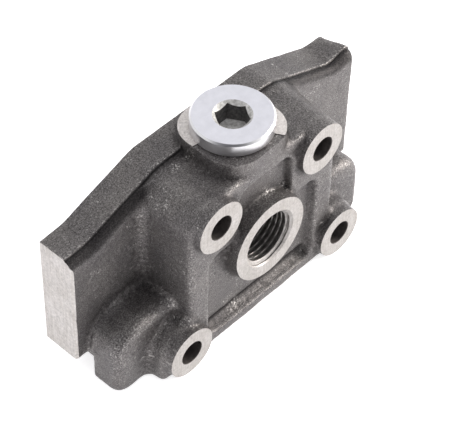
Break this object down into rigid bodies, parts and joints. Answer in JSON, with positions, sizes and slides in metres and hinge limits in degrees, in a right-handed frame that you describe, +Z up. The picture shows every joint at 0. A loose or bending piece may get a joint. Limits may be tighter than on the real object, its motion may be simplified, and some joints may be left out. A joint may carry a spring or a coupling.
{
  "type": "valve outlet section",
  "caption": "Cast-iron outlet section of a sectional directional valve, with a threaded front port, a plugged top port, four tie-rod holes and a machined mating face.",
  "frame": {"origin": "middle of the footprint, on the base plane that the block, lugs and lobes stand on", "axes": "+X along the flange, +Y to the machined mating face at the rear, +Z up towards the top port"},
  "size_m": [0.1298, 0.0364, 0.0802],
  "materials": {
    "cast_iron": "as cast, with milled and spot-faced areas",
    "zinc_steel": "zinc plated, turned",
    "seal_rubber": "matte"
  },
  "bodies": {
    "root": {"body": "cast_iron", "screw_plug": "zinc_steel", "plug_seal": "seal_rubber"}
  },
  "joints": []
}
